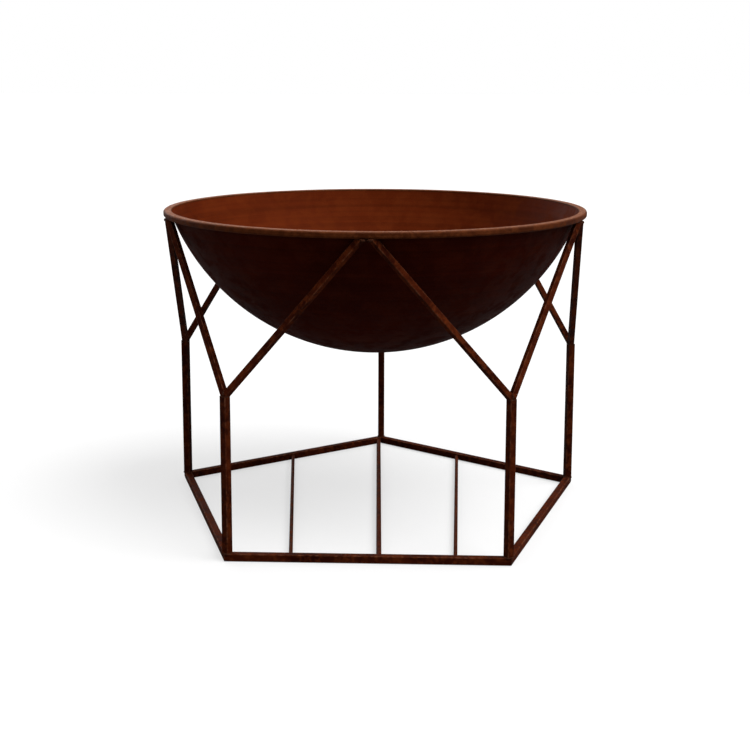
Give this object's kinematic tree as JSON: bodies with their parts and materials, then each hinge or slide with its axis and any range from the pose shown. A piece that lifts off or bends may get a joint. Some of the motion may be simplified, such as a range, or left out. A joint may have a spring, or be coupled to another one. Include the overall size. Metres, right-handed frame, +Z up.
{
  "type": "fire pit with grate",
  "caption": "Dished steel fire bowl with a rolled rim and a lift-out grate, hung in a five-sided rust-brown wire stand with log rods across its base.",
  "frame": {"origin": "middle of the footprint, on the floor; the bowl's upright axis stands 9.65 mm in front of it, at y = -0.00965 m", "axes": "+Z up, +Y from the straight front bar of the base towards the back leg, +X to the right seen from the front"},
  "size_m": [0.7028, 0.7194, 0.51],
  "materials": {
    "stand_rust": "matte dark rust-brown patina on steel tube and bar",
    "bowl_rust": "matte mottled rust patina on sheet steel, darker outside",
    "rim_rust": "rust patina rubbed lighter along the rolled rim",
    "grate_iron": "dark iron-brown round bar with rust showing through"
  },
  "bodies": {
    "stand": {"base_bar_back_left": "stand_rust", "base_bar_left": "stand_rust", "base_bar_front": "stand_rust", "base_bar_right": "stand_rust", "base_bar_back_right": "stand_rust", "leg_back": "stand_rust", "leg_rear_left": "stand_rust", "leg_front_left": "stand_rust", "leg_front_right": "stand_rust", "leg_rear_right": "stand_rust", "strut_back_left_near": "stand_rust", "strut_back_left_far": "stand_rust", "strut_left_near": "stand_rust", "strut_left_far": "stand_rust", "strut_front_near": "stand_rust", "strut_front_far": "stand_rust", "strut_right_near": "stand_rust", "strut_right_far": "stand_rust", "strut_back_right_near": "stand_rust", "strut_back_right_far": "stand_rust", "log_rod_left": "stand_rust", "log_rod_middle": "stand_rust", "log_rod_right": "stand_rust"},
    "bowl": {"bowl_shell": "bowl_rust", "rim_ring": "rim_rust"},
    "grate": {"grate_ring": "grate_iron", "grate_cross_bar_front": "grate_iron", "grate_cross_bar_rear": "grate_iron", "grate_bar_1": "grate_iron", "grate_bar_2": "grate_iron", "grate_bar_3": "grate_iron", "grate_bar_4": "grate_iron", "grate_bar_5": "grate_iron", "grate_bar_6": "grate_iron", "grate_bar_7": "grate_iron", "grate_bar_8": "grate_iron", "grate_bar_9": "grate_iron", "grate_handle_left": "grate_iron", "grate_handle_right": "grate_iron"}
  },
  "joints": [
    {"name": "bowl_lift", "type": "slide", "parent": "stand", "child": "bowl", "axis": [0, 0, 1], "range_m": [0, 0.26]},
    {"name": "grate_lift", "type": "slide", "parent": "bowl", "child": "grate", "axis": [0, 0, 1], "range_m": [0, 0.18]}
  ]
}
